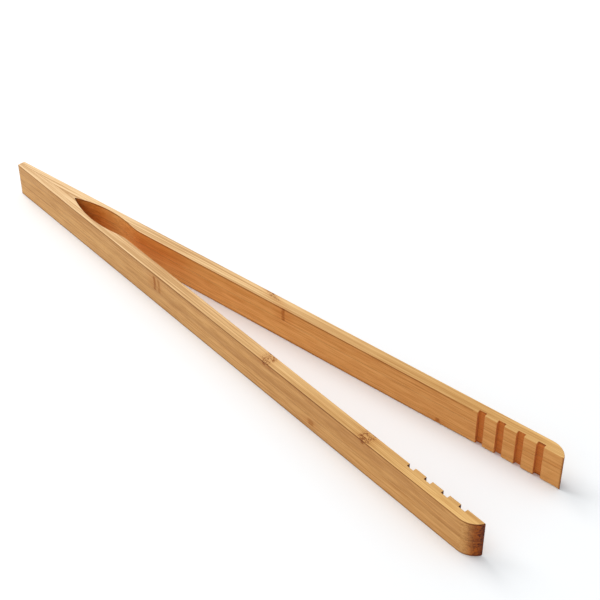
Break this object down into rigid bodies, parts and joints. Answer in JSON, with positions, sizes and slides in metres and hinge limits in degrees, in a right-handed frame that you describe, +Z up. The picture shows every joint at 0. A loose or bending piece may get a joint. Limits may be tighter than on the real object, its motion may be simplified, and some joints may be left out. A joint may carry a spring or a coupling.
{
  "type": "print tongs",
  "caption": "Long bamboo tongs: two laminated arms bonded at a tapering handle, sprung by thinned necks, with grooved jaws and rounded ends.",
  "frame": {"origin": "centre of the bottom of the bounding box, with the tongs lying on the lower edges of their arms", "axes": "+X from the handle's tip to the jaws, +Y towards the far arm, across the opening, +Z up through the arms' width"},
  "size_m": [0.2994, 0.0534, 0.0162],
  "materials": {
    "bamboo_pale": "sanded, unvarnished bamboo with fine fibre lines",
    "bamboo_tan": "sanded, unvarnished bamboo, tan",
    "bamboo_brown": "sanded, unvarnished bamboo, light brown",
    "glue": "cured glue, thin brown line"
  },
  "bodies": {
    "handle": {"handle_glue": "glue", "near_strip_low_heel": "bamboo_tan", "near_strip_mid_heel": "bamboo_brown", "near_strip_top_heel": "bamboo_pale", "near_glue_low_heel": "glue", "near_glue_top_heel": "glue", "far_strip_low_heel": "bamboo_brown", "far_strip_mid_heel": "bamboo_tan", "far_strip_top_heel": "bamboo_pale", "far_glue_low_heel": "glue", "far_glue_top_heel": "glue"},
    "near_arm": {"near_strip_low_arm": "bamboo_tan", "near_strip_mid_arm": "bamboo_brown", "near_strip_top_arm": "bamboo_pale", "near_glue_low_arm": "glue", "near_glue_top_arm": "glue"},
    "far_arm": {"far_strip_low_arm": "bamboo_brown", "far_strip_mid_arm": "bamboo_tan", "far_strip_top_arm": "bamboo_pale", "far_glue_low_arm": "glue", "far_glue_top_arm": "glue"}
  },
  "joints": [
    {"name": "near_arm_flex", "type": "hinge", "parent": "handle", "child": "near_arm", "pos_m": [-0.08931, -0.00596, 0.0081], "axis": [0, 0, 1], "range_deg": [-2, 5.25], "stiffness_Nm_per_rad": 5.5},
    {"name": "far_arm_flex", "type": "hinge", "parent": "handle", "child": "far_arm", "pos_m": [-0.08931, 0.00596, 0.0081], "axis": [0, 0, -1], "range_deg": [-2, 5.25], "stiffness_Nm_per_rad": 5.5}
  ]
}
